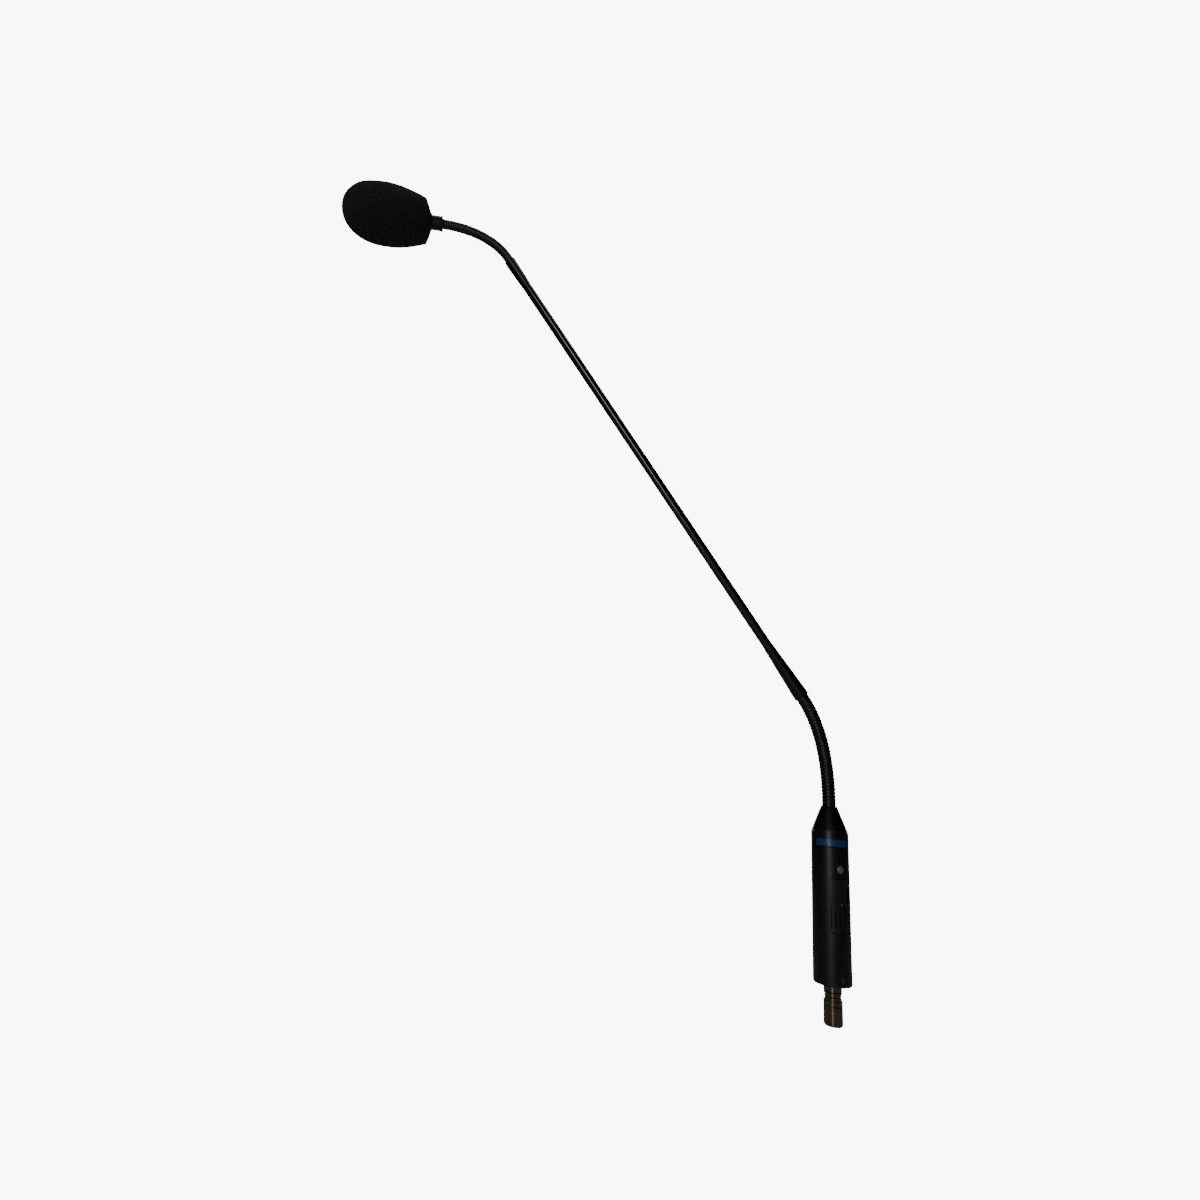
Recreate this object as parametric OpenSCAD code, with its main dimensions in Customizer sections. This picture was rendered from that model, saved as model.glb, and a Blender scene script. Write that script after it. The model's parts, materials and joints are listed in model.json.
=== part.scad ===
// Gooseneck podium microphone.
// Origin: on the axis of the plug, at the lower edge of the barrel's plain wall.
// +Z runs up the handle, -Y is the switch side, and the neck leans towards -X.

/* [Plug] */
// Diameter of the plug barrel
plug_d = 11.7; // [10:0.1:14]
// Length of the barrel's plain wall
plug_wall = 13.4; // [10:0.1:20]
// Distance of the ring line from the upper end of that wall
plug_ring = 3.0; // [2:0.1:5]
// Chamfer at the barrel's mating end
plug_chamfer = 0.8; // [0.3:0.1:1.2]
// Length of the ringed neck above the barrel
plug_neck = 4.0; // [2:0.1:8]
// Length of the collar under the handle
plug_collar = 5.3; // [3:0.1:8]

/* [Handle] */
// Outer diameter of the handle
handle_d = 24; // [22:0.1:28]
// Length of the handle's tube
handle_len = 82; // [80:0.5:110]
// Wall of the handle's tube
handle_wall = 1.4; // [1:0.1:1.8]
// Height of the cap on top of the handle
cap_h = 10; // [9:0.1:16]
// Height of the cone above the cap
cone_h = 16.1; // [12:0.1:24]
// Diameter of the cone's tip
cone_tip_d = 10.9; // [10.4:0.1:12]

/* [Slide switch] */
// Width of the window that the switch plate fills
window_w = 14.8; // [12:0.1:16]
// Lower end of the window, above the foot of the handle
window_low = 30.3; // [25:0.1:35]
// Upper end of the window, above the foot of the handle
window_high = 63; // [58:0.1:66]
// Lower end of the switch knob at rest, above the foot of the handle
knob_low = 33.6; // [32:0.1:36]
// Height of the switch knob
knob_h = 15; // [12:0.1:16]
// Travel of the switch knob
knob_travel = 9; // [3:0.5:9]

/* [Light and screw] */
// Diameter of the status light
led_d = 5.4; // [3:0.1:6]
// Centre of the status light, above the foot of the handle
led_z = 68.5; // [67:0.1:72]
// Centre of the retaining screw, above the foot of the handle
screw_z = 4.2; // [4:0.1:6]
// Diameter of the retaining screw's head
screw_d = 4; // [3:0.1:5]

/* [Lower gooseneck] */
// Outer diameter of the lower gooseneck
low_d = 9.2; // [8:0.1:10]
// Distance between two joints of the lower gooseneck
low_pitch = 8.6; // [8:0.1:10]
// Turn at the lowest joint, in degrees
low_first_turn = 1.9; // [0:0.1:4]
// Growth of the turn from one joint to the next, in degrees
low_turn_step = 0.605; // [0:0.005:0.8]

/* [Stem] */
// Diameter of the stem tube
stem_d = 7; // [6:0.1:8]
// Length of the taper above the lower gooseneck
swage_len = 42; // [30:1:50]
// Diameter of the taper's wide end
swage_d = 10.7; // [9.8:0.1:11]
// Length of the bare stem tube
stem_len = 330; // [250:1:400]
// Length of the sleeve below the upper gooseneck
sleeve_len = 24; // [18:0.5:30]
// Diameter of the sleeve's wide end
sleeve_d = 8.5; // [8:0.1:9]

/* [Upper gooseneck] */
// Outer diameter of the upper gooseneck
up_d = 7; // [6.4:0.1:7]
// Distance between two joints of the upper gooseneck
up_pitch = 6.3; // [6:0.1:8]
// Turn at the first joint of the upper gooseneck, in degrees
up_first_turn = 9.5; // [4:0.1:10]
// Growth of the turn from one joint to the next, in degrees
up_turn_step = -0.735; // [-0.8:0.005:0.4]

/* [Head] */
// Diameter of the collar behind the windscreen
collar_d = 10.2; // [9:0.1:10.6]
// Length of the collar behind the windscreen
collar_len = 9.8; // [8:0.1:12]
// Diameter of the capsule housing
capsule_d = 12; // [11.6:0.1:13]
// Length of the capsule housing
capsule_len = 36; // [30:1:42]
// Length of the windscreen
foam_len = 62.3; // [58:1:72]
// Largest diameter of the windscreen
foam_d = 42.2; // [40:0.1:50]
// Diameter of the windscreen's flat end
foam_end_d = 28.5; // [22:0.1:30]
// Distance of the largest diameter from the flat end
foam_belly = 30; // [26:1:38]
// Roundness of the windscreen's nose: 2 is an ellipse, more is blunter
foam_nose = 2.6; // [2:0.01:3]
// Height of the raised rim around the windscreen's hole
foam_lip = 1.1; // [0:0.1:2]

/* [Hidden] */
$fn = 96;
// Small overlap of a cutting shape beyond the solid that it cuts
eps = 0.5;
// Radial clearance of pieces that are pushed into one another
fit_gap = 0.05;
// Links that move in each gooseneck, and the joints between them
links = 8;
joints = links + 1;
// Inside of the plug: wall of the barrel, its shoulder and mouth, the bore and shank above
plug_skin = 1.1;
plug_shoulder = 1;
plug_mouth_r = 4.1;
plug_bore_r = 3.2;
plug_shank_r = 5.2;
insert_low = 5;
pin_circle_r = 2.1;
pin_r = 0.5;
pin_low = 1.5;
pin_turns = [90, 210, 330];
// Keyway of the plug: its place off the middle, width, depth and lower end
keyway_x = 1.2;
keyway_w = 0.8;
keyway_depth = 0.6;
keyway_low = 1.5;
keyway_floor = keyway_depth - sqrt(pow(plug_d / 2, 2) - pow(keyway_x, 2));
// Heights of the plug's collar, the handle's tube, the cap and the cone
collar_low = plug_wall + plug_neck;
foot_z = collar_low + plug_collar;
shell_top = foot_z + handle_len;
cap_top = shell_top + cap_h;
cone_top = cap_top + cone_h;
handle_r = handle_d / 2;
handle_bore_r = handle_r - handle_wall;
// Radii of the ball ends and of the cable's bore in both goosenecks
low_ball_r = low_d / 2 + 0.75;
up_ball_r = up_d / 2 + 0.6;
ball_gap = 0.1;
low_bore_r = 2.4;
up_bore_r = 1.9;
cable_r = 1.2;
// Straight stretch of the upper gooseneck above the sleeve
up_straight = 2.7;
// Diameters and heights inside the cap and the cone
cap_bore_d = 14;
spigot_len = 7;
spigot_wall = 2.6;
nut_across = 12.6;
nut_h = 5;
cone_spigot = 6;
// Stem of the switch knob, and the actuator behind it
slide_gap = 0.2;
stem_w = 3.6;
stem_h = 3.6;
knob_stem_low = foot_z + knob_low + 2.2;
actuator_w = 2.6;
actuator_h = 2.8;
actuator_out = 8.1;
// Ribbed pad of the knob, and the plain bar above it with the white mark
knob_w = 12.8;
pad_len = 11;
mark_r = 0.45;
mark_len = 1.5;
mark_z = foot_z + knob_low + 14;
// Recess of the switch plate, in which the knob slides
plate_gap = 0.3;
plate_out = handle_r - 0.3;
plate_t = 1.6;
recess_r = handle_r - 1;
bar_out = handle_r - 0.1;
pad_out = handle_r + 0.4;
// Circuit board
board_w = 17;
board_t = 1.6;
board_low = foot_z + 13;
board_len = 62;
board_y = -1;
// Band for the name on the cap
band_h = 4.4;
band_t = 0.4;
band_low = shell_top + 0.5;
band_angle = 78;
// Head: the collar's socket and spigot, and what lies inside the windscreen
neck_socket = 6;
head_spigot_r = 4.3;
capsule_wall = 0.9;
grille_len = 6;
capsule_hole_gap = 0.2;
housing_gap = 1.2;
// Stretch of the cable that runs through the collar to the capsule
cable_end = collar_len + capsule_len - 9;

// Sum of i + 1 turns, of which the first is given and each next one grows by a step
function turned(i, first, step) = first * (i + 1) + step * i * (i + 1) / 2;
// Direction of the piece above joint i, in degrees from the vertical
function low_dir(i) = turned(i, low_first_turn, low_turn_step);
function up_dir(i) = low_dir(joints - 1) + turned(i, up_first_turn, up_turn_step);
// A step of a given length in a given direction
function step_to(length, dir) = [-length * sin(dir), 0, length * cos(dir)];
// Joints of the lower gooseneck, its end, and so on up to the windscreen
function low_joint(i) = i == 0
    ? [0, 0, cone_top + low_pitch / 2]
    : low_joint(i - 1) + step_to(low_pitch, low_dir(i - 1));
stem_dir = low_dir(joints - 1);
low_end = low_joint(joints - 1) + step_to(low_pitch / 2, stem_dir);
stem_total = swage_len + stem_len + sleeve_len;
up_start = low_end + step_to(stem_total, stem_dir);
function up_joint(i) = i == 0
    ? up_start + step_to(up_straight + up_pitch / 2, stem_dir)
    : up_joint(i - 1) + step_to(up_pitch, up_dir(i - 1));
head_dir = up_dir(joints - 1);
up_end = up_joint(joints - 1) + step_to(up_pitch / 2, head_dir);
foam_start = up_end + step_to(collar_len, head_dir);

LOW_LINKS = [for (i = [1:links]) str("lower_link_", i)];
UP_LINKS = [for (i = [1:links]) str("upper_link_", i)];

// ---- shapes that repeat ----

// Puts a shape drawn along +Z at a point, leaning towards -X by dir degrees
module placed(point, dir) {
    translate(point) rotate([0, -dir, 0]) children();
}

// A tube along +Z
module tube(length, outer_r, inner_r) {
    difference() {
        cylinder(h = length, r = outer_r);
        translate([0, 0, -eps]) cylinder(h = length + 2 * eps, r = inner_r);
    }
}

// A tube with chamfered outer edges, of the given size at each end
module edged_tube(length, outer_r, inner_r, low_edge, high_edge) {
    rotate_extrude() polygon([
        [inner_r, 0],
        [outer_r - low_edge, 0],
        [outer_r, low_edge],
        [outer_r, length - high_edge],
        [outer_r - high_edge, length],
        [inner_r, length]
    ]);
}

// A tapered tube along +Z
module taper(length, low_r, high_r, inner_r) {
    difference() {
        cylinder(h = length, r1 = low_r, r2 = high_r);
        translate([0, 0, -eps]) cylinder(h = length + 2 * eps, r = inner_r);
    }
}

// A stretch of gooseneck from z = low to z = high. An end marked as a joint
// is round, about that end's centre: a ball at the foot and a cup at the top.
module neck_piece(low, high, outer_r, bore_r, ball_r, foot_joint, top_joint) {
    rim = sqrt(ball_r * ball_r - outer_r * outer_r);
    difference() {
        union() {
            translate([0, 0, foot_joint ? low - rim : low])
                cylinder(h = high - low - (top_joint ? rim : 0) + (foot_joint ? rim : 0), r = outer_r);
            if (foot_joint) intersection() {
                translate([0, 0, low]) sphere(r = ball_r - ball_gap);
                translate([0, 0, low - ball_r]) cylinder(h = ball_r, r = outer_r);
            }
        }
        translate([0, 0, low - ball_r - eps]) cylinder(h = high - low + 2 * ball_r, r = bore_r);
        if (foot_joint) difference() {
            translate([0, 0, low - 2 * ball_r]) cylinder(h = 2 * ball_r, r = outer_r + eps);
            translate([0, 0, low]) sphere(r = ball_r - ball_gap);
        }
        if (top_joint) translate([0, 0, high]) sphere(r = ball_r);
    }
}

// ---- plug ----

module plug_barrel() {
    ring_line = plug_wall + plug_chamfer - plug_ring;
    line_r = 0.25;
    color([0.62, 0.57, 0.52]) difference() {
        translate([0, 0, -plug_chamfer]) rotate_extrude() polygon([
            [plug_d / 2 - plug_skin, 0],
            [plug_d / 2 - plug_chamfer, 0],
            [plug_d / 2, plug_chamfer],
            [plug_d / 2, ring_line - line_r],
            [plug_d / 2 - line_r, ring_line],
            [plug_d / 2, ring_line + line_r],
            [plug_d / 2, plug_wall + plug_chamfer],
            [plug_mouth_r, plug_wall + plug_chamfer],
            [plug_mouth_r, plug_wall + plug_chamfer - plug_shoulder],
            [plug_d / 2 - plug_skin, plug_wall + plug_chamfer - plug_shoulder]
        ]);
        // keyway down the switch side
        translate([keyway_x - keyway_w / 2, keyway_floor - plug_d, keyway_low])
            cube([keyway_w, plug_d, plug_wall - plug_ring - keyway_low]);
    }
}

module plug_body() {
    neck_r = 5.1;
    collar_r = 5.6;
    shank_len = 11;
    line_z = plug_wall + plug_neck / 2;
    edge_z = collar_low + 1;
    line_r = 0.3;
    color([0.62, 0.57, 0.52]) rotate_extrude() polygon([
        [plug_bore_r, plug_wall + fit_gap],
        [neck_r, plug_wall + fit_gap],
        [neck_r, line_z - line_r],
        [neck_r - line_r, line_z],
        [neck_r, line_z + line_r],
        [neck_r, collar_low],
        [collar_r, collar_low],
        [collar_r, edge_z - line_r],
        [collar_r - line_r, edge_z],
        [collar_r, edge_z + line_r],
        [collar_r, foot_z],
        [plug_shank_r, foot_z],
        [plug_shank_r, foot_z + shank_len],
        [plug_bore_r, foot_z + shank_len]
    ]);
}

module plug_insert() {
    rim_len = plug_wall - plug_shoulder - insert_low - fit_gap;
    color([0.09, 0.09, 0.1]) translate([0, 0, insert_low]) difference() {
        union() {
            cylinder(h = rim_len, r = plug_d / 2 - plug_skin - fit_gap);
            cylinder(h = plug_wall + 3 - insert_low, r = plug_bore_r - fit_gap);
        }
        for (a = pin_turns) rotate(a) translate([pin_circle_r, 0, -eps]) cylinder(h = 30, r = pin_r);
    }
}

module plug_contacts() {
    color([0.83, 0.7, 0.36]) for (a = pin_turns) rotate(a) translate([pin_circle_r, 0, pin_low]) {
        cylinder(h = plug_wall + 5 - pin_low, r = pin_r);
        sphere(r = pin_r);
    }
}

// ---- handle ----

module end_plug() {
    color([0.07, 0.07, 0.075]) difference() {
        translate([0, 0, foot_z]) rotate_extrude() polygon([
            [plug_shank_r + fit_gap, 0],
            [handle_bore_r - fit_gap, 0],
            [handle_bore_r - fit_gap, 8],
            [handle_bore_r - 1, 8],
            [handle_bore_r - 1, 9.6],
            [handle_bore_r - fit_gap, 9.6],
            [handle_bore_r - fit_gap, 12],
            [handle_bore_r - 2, 12],
            [handle_bore_r - 2, 10],
            [plug_shank_r + fit_gap, 10]
        ]);
        translate([0, 0, foot_z + screw_z]) rotate([90, 0, 0]) cylinder(h = 20, r = 1.3);
    }
}

module end_seal() {
    color([0.05, 0.05, 0.05]) translate([0, 0, foot_z + 8.8])
        rotate_extrude() translate([handle_bore_r - 0.5, 0]) circle(r = 0.42, $fn = 32);
}

module end_screw() {
    color([0.7, 0.69, 0.66]) translate([0, 0, foot_z + screw_z]) rotate([90, 0, 0]) difference() {
        union() {
            translate([0, 0, 6.5]) cylinder(h = handle_r - 0.9 - 6.5, r = 1.25);
            translate([0, 0, handle_r - 1.3]) cylinder(h = 1, r = screw_d / 2);
        }
        translate([0, 0, handle_r - 0.9]) cylinder(h = 2, r = 1, $fn = 6);
    }
}

// The opening for the switch plate, square at the top and rounded below
module window_shape(inset, depth) {
    w = window_w - 2 * inset;
    r = 3;
    low = foot_z + window_low + inset;
    high = foot_z + window_high - inset;
    rotate([90, 0, 0]) linear_extrude(height = depth) union() {
        translate([-w / 2, low + r]) square([w, high - low - r]);
        translate([-w / 2 + r, low]) square([w - 2 * r, r + 1]);
        for (side = [-1, 1]) translate([side * (w / 2 - r), low + r]) circle(r = r);
    }
}

module body_shell() {
    color([0.06, 0.06, 0.065]) difference() {
        translate([0, 0, foot_z]) edged_tube(handle_len, handle_r, handle_bore_r, 0.5, 0.3);
        window_shape(0, 20);
        translate([0, 0, foot_z + led_z]) rotate([90, 0, 0]) cylinder(h = 20, r = led_d / 2 + 0.55);
        translate([0, 0, foot_z + screw_z]) rotate([90, 0, 0]) cylinder(h = 20, r = 1.4);
        translate([0, -(handle_r - 1.35), foot_z + screw_z]) rotate([90, 0, 0])
            cylinder(h = 5, r = screw_d / 2 + 0.5);
    }
}

// The stretch of a tube in front, between two heights and so wide
module front_tile(width, low, high, outer_r, inner_r) {
    intersection() {
        translate([0, 0, foot_z]) tube(handle_len, outer_r, inner_r);
        translate([-width / 2, -2 * handle_r, low]) cube([width, 2 * handle_r, high - low]);
    }
}

// A short upright slot shape, cut or filled from the front
module mark_shape(r) {
    translate([0, 0, mark_z]) rotate([90, 0, 0]) linear_extrude(height = handle_r + 1) {
        translate([-r, -mark_len / 2 + mark_r]) square([2 * r, mark_len - 2 * mark_r]);
        for (side = [-1, 1]) translate([0, side * (mark_len / 2 - mark_r)]) circle(r = r);
    }
}

module switch_plate() {
    recess_low = foot_z + knob_low - slide_gap;
    recess_high = foot_z + knob_low + knob_h + knob_travel + slide_gap;
    color([0.09, 0.09, 0.095]) difference() {
        intersection() {
            translate([0, 0, foot_z]) tube(handle_len, plate_out, plate_out - plate_t);
            window_shape(plate_gap, 2 * handle_r);
        }
        front_tile(knob_w + 2 * slide_gap, recess_low, recess_high, handle_r + 1, recess_r);
        translate([-stem_w / 2 - slide_gap, -2 * handle_r, knob_stem_low - slide_gap])
            cube([stem_w + 2 * slide_gap, 2 * handle_r - 5, stem_h + knob_travel + 2 * slide_gap]);
    }
}

module switch_mark() {
    color([0.85, 0.85, 0.85]) intersection() {
        mark_shape(mark_r);
        translate([0, 0, foot_z]) tube(handle_len, bar_out, recess_r + 0.2);
    }
}

module switch_knob() {
    low = foot_z + knob_low;
    inner_r = recess_r + 0.1;
    ribs = 4;
    rib_pitch = 3;
    groove_w = 1.1;
    groove_depth = 0.6;
    pad_rim = 0.9;
    color([0.1, 0.1, 0.105]) difference() {
        union() {
            front_tile(knob_w, low, low + knob_h, bar_out, inner_r);
            front_tile(knob_w, low, low + pad_len, pad_out, inner_r);
            // stem through the slot of the plate
            translate([-stem_w / 2, -inner_r - 0.3, knob_stem_low])
                cube([stem_w, inner_r + 0.3 - actuator_out - fit_gap, stem_h]);
        }
        for (k = [1:ribs]) let (x = (k - (ribs + 1) / 2) * rib_pitch)
            translate([x, groove_depth - handle_r - sqrt(pow(pad_out, 2) - x * x), low + pad_rim])
                translate([-groove_w / 2, 0, 0]) cube([groove_w, handle_r, pad_len - 2 * pad_rim]);
        mark_shape(mark_r + fit_gap);
    }
}

module switch_actuator() {
    color([0.8, 0.8, 0.78]) difference() {
        translate([-actuator_w / 2, -actuator_out, knob_stem_low + (stem_h - actuator_h) / 2])
            cube([actuator_w, 2.6, actuator_h]);
        translate([0, -4, knob_stem_low + stem_h / 2]) rotate([90, 0, 0]) cylinder(h = 10, r = 0.4);
    }
}

module slide_switch() {
    case_w = 8;
    case_len = 18;
    case_out = 7;
    slot_low = knob_stem_low + (stem_h - actuator_h) / 2 - slide_gap;
    slot_len = actuator_h + knob_travel + 2 * slide_gap;
    color([0.55, 0.56, 0.58]) difference() {
        translate([-case_w / 2, -case_out, slot_low + slot_len / 2 - case_len / 2])
            cube([case_w, case_out + board_y - board_t / 2, case_len]);
        translate([-actuator_w / 2 - slide_gap, -case_out - 1, slot_low])
            cube([actuator_w + 2 * slide_gap, 4, slot_len]);
    }
}

module circuit_board() {
    color([0.08, 0.3, 0.16]) difference() {
        translate([-board_w / 2, board_y - board_t / 2, board_low]) cube([board_w, board_t, board_len]);
        for (side = [-1, 1]) translate([side * (board_w / 2 - 2), board_y + 2, board_low + board_len - 2.5])
            rotate([90, 0, 0]) cylinder(h = 4, r = 0.8);
    }
}

module board_parts() {
    back = board_y + board_t / 2;
    color([0.16, 0.16, 0.2]) {
        for (k = [0:1]) translate([0, back, board_low + 6 + 9 * k]) rotate([-90, 0, 0])
            cylinder(h = 6.5, r = 3.1);
        for (k = [0:2]) translate([-5 + 5 * k - 1.5, back, board_low + 22]) cube([3, 1.4, 5]);
        for (k = [0:3]) translate([-6.6 + 4.2 * k, back, board_low + 50]) cube([1.6, 0.9, 3.2]);
        translate([-3, back, board_low + 54.5]) cube([6, 1.5, 5]);
    }
}

module output_transformer() {
    back = board_y + board_t / 2;
    color([0.5, 0.33, 0.2]) {
        translate([-5.5, back, board_low + 30]) cube([11, 7, 4]);
        translate([-4, back + 0.6, board_low + 34]) cube([8, 5.8, 9]);
        translate([-5.5, back, board_low + 43]) cube([11, 7, 4]);
    }
}

module led_bezel() {
    color([0.04, 0.04, 0.045]) translate([0, -handle_r + 2.2, foot_z + led_z]) rotate([90, 0, 0])
        edged_tube(2.3, led_d / 2 + 0.5, led_d / 2 + fit_gap, 0, 0.2);
}

module status_led() {
    color([0.72, 0.72, 0.68]) translate([0, 0, foot_z + led_z]) rotate([90, 0, 0]) {
        intersection() {
            translate([0, 0, 6]) cylinder(h = 10, r = led_d / 2);
            translate([0, 0, handle_r - 2.9]) sphere(r = 3.5);
        }
        translate([0, 0, 4.9]) cylinder(h = 1.1, r = led_d / 2 + 0.4);
        for (side = [-1, 1]) translate([side * 1.27 - 0.25, -0.25, -board_y + board_t / 2])
            cube([0.5, 0.5, 4.9 + board_y - board_t / 2]);
    }
}

// ---- top of the handle ----

module top_cap() {
    spigot_r = handle_bore_r - fit_gap;
    groove_r = handle_r - band_t - fit_gap;
    color([0.05, 0.05, 0.055]) difference() {
        translate([0, 0, shell_top]) rotate_extrude() polygon([
            [cap_bore_d / 2, -2],
            [spigot_r - spigot_wall, -spigot_len],
            [spigot_r, -spigot_len],
            [spigot_r, -4.2],
            [spigot_r - 1, -4.2],
            [spigot_r - 1, -2.6],
            [spigot_r, -2.6],
            [spigot_r, 0],
            [handle_r - 0.3, 0],
            [handle_r, 0.3],
            [handle_r, cap_h - 0.6],
            [handle_r - 0.6, cap_h],
            [cap_bore_d / 2, cap_h]
        ]);
        // groove for the name band, round the switch side
        translate([0, 0, band_low]) rotate(-90 - band_angle) rotate_extrude(angle = 2 * band_angle)
            translate([groove_r, 0]) square([2, band_h]);
    }
}

module cap_seal() {
    color([0.05, 0.05, 0.05]) translate([0, 0, shell_top - 3.4])
        rotate_extrude() translate([handle_bore_r - 0.5, 0]) circle(r = 0.42, $fn = 32);
}

module name_band() {
    inner = handle_r - band_t;
    side_gap = 0.4;
    color([0.05, 0.3, 0.6]) translate([0, 0, band_low + fit_gap]) rotate(-90 - band_angle + side_gap)
        rotate_extrude(angle = 2 * (band_angle - side_gap)) translate([inner, 0])
            square([band_t, band_h - 2 * fit_gap]);
}

module neck_cone() {
    base_r = handle_r - 0.5;
    spigot_r = cap_bore_d / 2 - fit_gap;
    neck_r = low_d / 2 + fit_gap;
    color([0.05, 0.05, 0.055]) translate([0, 0, cap_top]) rotate_extrude() polygon([
        [neck_r, -cone_spigot],
        [spigot_r, -cone_spigot],
        [spigot_r, 0],
        [base_r, 0],
        [base_r, 0.6],
        [cone_tip_d / 2, cone_h - 0.6],
        [cone_tip_d / 2 - 0.3, cone_h],
        [neck_r, cone_h]
    ]);
}

module neck_nut() {
    color([0.6, 0.58, 0.5]) translate([0, 0, cap_top - cone_spigot - nut_h]) difference() {
        cylinder(h = nut_h, r = nut_across / 2, $fn = 6);
        translate([0, 0, -eps]) cylinder(h = nut_h + 2 * eps, r = low_d / 2 + fit_gap);
    }
}

// ---- lower gooseneck ----

module lower_piece(foot_joint, top_joint, low, high) {
    color([0.08, 0.08, 0.08])
        neck_piece(low, high, low_d / 2, low_bore_r, low_ball_r, foot_joint, top_joint);
}

module lower_neck_foot() {
    lower_piece(false, true, cap_top - cone_spigot - nut_h, cone_top + low_pitch / 2);
}

module lower_link(i) {
    placed(low_joint(i - 1), low_dir(i - 1)) lower_piece(true, true, 0, low_pitch);
}

module lower_neck_top() {
    placed(low_joint(joints - 1), stem_dir) lower_piece(true, false, 0, low_pitch / 2 + 10);
}

// ---- stem ----

module lower_swage() {
    color([0.04, 0.04, 0.045]) placed(low_end, stem_dir) difference() {
        union() {
            edged_tube(3, swage_d / 2, 3, 0.4, 0);
            translate([0, 0, 3 - fit_gap]) taper(swage_len - 3 + fit_gap, swage_d / 2, stem_d / 2 + 0.15, 2);
        }
        translate([0, 0, -eps]) cylinder(h = 10 + eps, r = low_d / 2 + fit_gap);
        translate([0, 0, 9]) cylinder(h = swage_len, r = stem_d / 2 + fit_gap);
    }
}

module stem_tube() {
    start = low_end + step_to(11, stem_dir);
    length = swage_len - 11 + stem_len + sleeve_len - 10;
    color([0.03, 0.03, 0.035]) placed(start, stem_dir) tube(length, stem_d / 2, stem_d / 2 - 0.8);
}

module upper_sleeve() {
    color([0.04, 0.04, 0.045]) placed(up_start + step_to(-sleeve_len, stem_dir), stem_dir) difference() {
        union() {
            taper(sleeve_len - 2, stem_d / 2 + 0.15, sleeve_d / 2, 2);
            translate([0, 0, sleeve_len - 2]) edged_tube(2, sleeve_d / 2, 2, 0, 0.4);
        }
        translate([0, 0, -eps]) cylinder(h = sleeve_len + 2 * eps, r = stem_d / 2 + fit_gap);
    }
}

// ---- upper gooseneck ----

module upper_piece(foot_joint, top_joint, low, high) {
    color([0.1, 0.1, 0.08])
        neck_piece(low, high, up_d / 2, up_bore_r, up_ball_r, foot_joint, top_joint);
}

module upper_neck_foot() {
    placed(up_start, stem_dir) upper_piece(false, true, -9.5, up_pitch / 2);
}

module upper_link(i) {
    placed(up_joint(i - 1), up_dir(i - 1)) upper_piece(true, true, 0, up_pitch);
}

module upper_neck_top() {
    placed(up_joint(joints - 1), head_dir) upper_piece(true, false, 0, up_pitch / 2 + neck_socket - fit_gap);
}

// ---- head ----

module head_collar() {
    lip_len = 1.6;
    lip_r = collar_d / 2 + 0.3;
    socket_r = up_d / 2 + fit_gap;
    bore_r = 2.2;
    color([0.05, 0.05, 0.055]) placed(up_end, head_dir) rotate_extrude() polygon([
        [socket_r, 0],
        [lip_r - 0.3, 0],
        [lip_r, 0.3],
        [lip_r, lip_len - 0.2],
        [collar_d / 2, lip_len],
        [collar_d / 2, collar_len - 0.3],
        [collar_d / 2 - 0.3, collar_len],
        [head_spigot_r, collar_len],
        [head_spigot_r, collar_len + 5.6],
        [bore_r, collar_len + 5.6],
        [bore_r, neck_socket],
        [socket_r, neck_socket]
    ]);
}

module capsule_housing() {
    r = capsule_d / 2;
    bore_r = r - capsule_wall;
    neck_r = head_spigot_r + fit_gap;
    flange_t = 2.2;
    vents = 8;
    color([0.06, 0.06, 0.065]) placed(foam_start + step_to(housing_gap, head_dir), head_dir) difference() {
        rotate_extrude() polygon([
            [neck_r, 0],
            [r - 1, 0],
            [r, 1],
            [r, capsule_len],
            [bore_r, capsule_len],
            [bore_r, flange_t],
            [neck_r, flange_t]
        ]);
        for (k = [0:vents - 1]) translate([0, 0, capsule_len - 12]) rotate([0, 90, 360 / vents * k])
            translate([0, 0, 3]) cylinder(h = 10, r = 0.8);
    }
}

module capsule_grille() {
    wall = 0.6;
    r = capsule_d / 2;
    start = foam_start + step_to(housing_gap + capsule_len, head_dir);
    color([0.1, 0.1, 0.1]) placed(start, head_dir) difference() {
        rotate_extrude() polygon([
            [0, grille_len - wall],
            [r - 1.5, grille_len - wall],
            [r - 1.5, 0.05],
            [r, 0.05],
            [r, grille_len - 1],
            [r - 1, grille_len],
            [0, grille_len]
        ]);
        for (a = [0:60:300]) rotate(a) translate([2.6, 0, 0]) cylinder(h = 20, r = 0.7);
        cylinder(h = 20, r = 0.7);
    }
}

module condenser_capsule() {
    color([0.75, 0.75, 0.77])
        placed(foam_start + step_to(capsule_len - 8, head_dir), head_dir) difference() {
            edged_tube(6.5, 4.85, 0.9, 0.3, 0.3);
            translate([0, 0, 5.6]) tube(2, 4.1, 3.4);
        }
}

module capsule_seat() {
    color([0.05, 0.05, 0.05])
        placed(foam_start + step_to(capsule_len - 9, head_dir), head_dir) difference() {
            cylinder(h = 8, r = capsule_d / 2 - capsule_wall - fit_gap);
            translate([0, 0, 1]) cylinder(h = 20, r = 4.9);
            translate([0, 0, -1]) cylinder(h = 20, r = 2.4);
        }
}

// Half outline of the windscreen: a swelling from the flat end to the belly,
// then a round nose
function foam_r(s) = s < foam_belly
    ? foam_end_d / 2 + (foam_d - foam_end_d) / 2 * sin(90 * s / foam_belly)
    : foam_d / 2 * sqrt(max(0, 1 - pow((s - foam_belly) / (foam_len - foam_belly), foam_nose)));

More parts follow.
